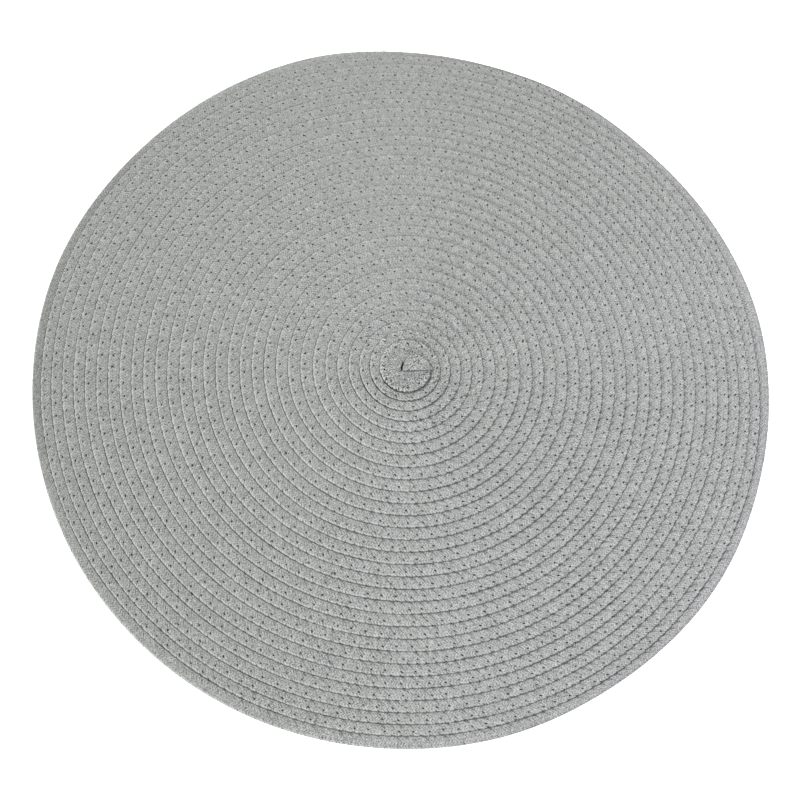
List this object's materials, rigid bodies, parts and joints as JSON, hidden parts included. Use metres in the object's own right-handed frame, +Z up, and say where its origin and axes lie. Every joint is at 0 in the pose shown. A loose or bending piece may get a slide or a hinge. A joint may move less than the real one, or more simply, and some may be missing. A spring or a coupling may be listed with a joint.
{
  "type": "round braided placemat",
  "caption": "Round flat fabric placemat: one plaited band wound in a flat spiral and sewn turn to turn, each turn overlapping the next.",
  "frame": {"origin": "on the flat underside, at the centre of the box round the outline", "axes": "+Z up out of the mat's upper face, +Y towards the far side in the picture, +X to the picture's right"},
  "size_m": [0.3796, 0.3816, 0.0023],
  "materials": {
    "braid_yarn": "matte grey plaited yarn"
  },
  "bodies": {
    "root": {"wound_braid": "braid_yarn"}
  },
  "joints": []
}
